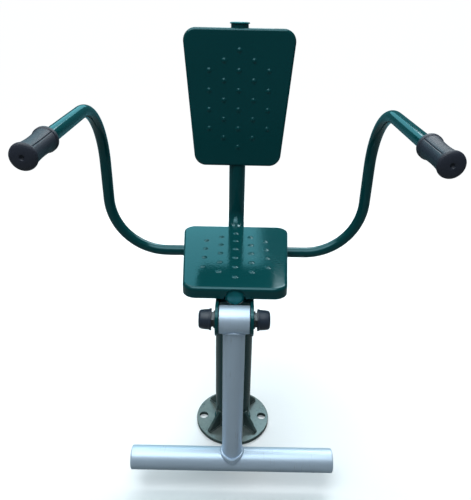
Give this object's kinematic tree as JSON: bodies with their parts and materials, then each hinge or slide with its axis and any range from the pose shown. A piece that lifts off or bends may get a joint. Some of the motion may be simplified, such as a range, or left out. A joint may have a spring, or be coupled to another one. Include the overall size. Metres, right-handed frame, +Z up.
{
  "type": "outdoor leg press machine",
  "caption": "Outdoor leg press: dimpled steel seat and backrest pans on a bent tube over a flanged post, with side handlebars and a free-hanging foot lever on a bearing hub.",
  "frame": {"origin": "centre of the base flange's underside, on the floor", "axes": "+Z up along the post, -Y the way the user faces, X across the seat"},
  "size_m": [0.691, 0.6022, 1.0556],
  "materials": {
    "green_paint": "high gloss deep green",
    "silver_paint": "satin silver paint",
    "zinc_steel": "zinc plated",
    "bearing_steel": "ground steel",
    "black_plastic": "moulded slate black",
    "green_plastic": "moulded deep green",
    "grip_rubber": "matt slate black",
    "seal_rubber": "matt black"
  },
  "bodies": {
    "frame": {"base_flange": "green_paint", "base_gussets": "green_paint", "main_post": "green_paint", "post_head_plate": "green_paint", "spine_tube": "green_paint", "handlebar": "green_paint", "yoke_plate": "green_paint", "pivot_ear_left": "green_paint", "pivot_ear_right": "green_paint", "seat_pan": "green_paint", "seat_cleats": "green_paint", "backrest_pan": "green_paint", "backrest_cleats": "green_paint", "pivot_shaft": "zinc_steel", "shaft_washers": "zinc_steel", "shaft_nuts": "zinc_steel", "shaft_collars": "zinc_steel", "bearing_spacer": "zinc_steel", "seat_studs": "zinc_steel", "seat_washers": "zinc_steel", "seat_nuts": "zinc_steel", "backrest_studs": "zinc_steel", "backrest_washers": "zinc_steel", "backrest_nuts": "zinc_steel", "bearing_inner_rings": "bearing_steel", "shaft_cap_left": "black_plastic", "shaft_cap_right": "black_plastic", "spine_front_cap": "green_plastic", "spine_top_cap": "green_plastic", "grip_left": "grip_rubber", "grip_right": "grip_rubber"},
    "lever": {"hub_sleeve": "silver_paint", "lever_tube": "silver_paint", "foot_bar": "silver_paint", "foot_bar_plug_left": "silver_paint", "foot_bar_plug_right": "silver_paint", "bearing_outer_rings": "bearing_steel", "bearing_balls": "bearing_steel", "bearing_seals": "seal_rubber", "hub_circlips": "bearing_steel"}
  },
  "joints": [
    {"name": "lever_swing", "type": "hinge", "parent": "frame", "child": "lever", "pos_m": [0, -0.22, 0.493], "axis": [-1, 0, 0], "range_deg": [-14, 80]}
  ]
}
